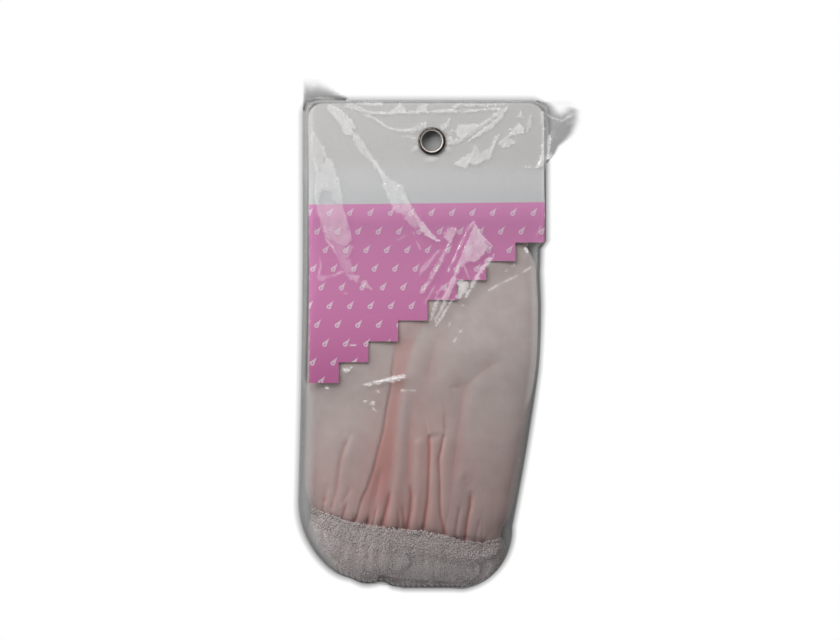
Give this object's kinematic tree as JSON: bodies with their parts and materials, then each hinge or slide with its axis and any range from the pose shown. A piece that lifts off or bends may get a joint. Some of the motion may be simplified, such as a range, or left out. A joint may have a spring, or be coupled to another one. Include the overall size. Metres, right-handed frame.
{
  "type": "shower cap in hang bag",
  "caption": "Terry-lined vinyl shower cap with a gathered elastic hem and lace trim, folded flat in a clear hang bag with a stair-cut header card and a metal eyelet.",
  "frame": {"origin": "underside of the bag's back film, on the card's centreline, halfway down the bag", "axes": "+X across the pack to the viewer's right, +Y along it towards the hanging eyelet, +Z out of its front; the pack lies on its back on z = 0"},
  "size_m": [0.1308, 0.2373, 0.0202],
  "materials": {
    "clear_film": "clear crinkled film",
    "clear_film_back": "clear flat film",
    "printed_card": "satin printed board",
    "eyelet_metal": "dull nickel plate, worn",
    "washer_metal": "dull nickel plate",
    "pink_vinyl": "soft satin sheet",
    "terry_cloth": "looped pile",
    "elastic": "braided",
    "lace": "open lace with scalloped edge",
    "thread": "spun thread"
  },
  "bodies": {
    "root": {"bag_front_film": "clear_film", "bag_back_film": "clear_film_back", "header_card": "printed_card", "eyelet_barrel": "eyelet_metal", "eyelet_washer": "washer_metal", "cap_vinyl_shell": "pink_vinyl", "cap_terry_lining": "terry_cloth", "cap_elastic_band": "elastic", "cap_lace_trim": "lace", "hem_seam_thread": "thread"}
  },
  "joints": []
}
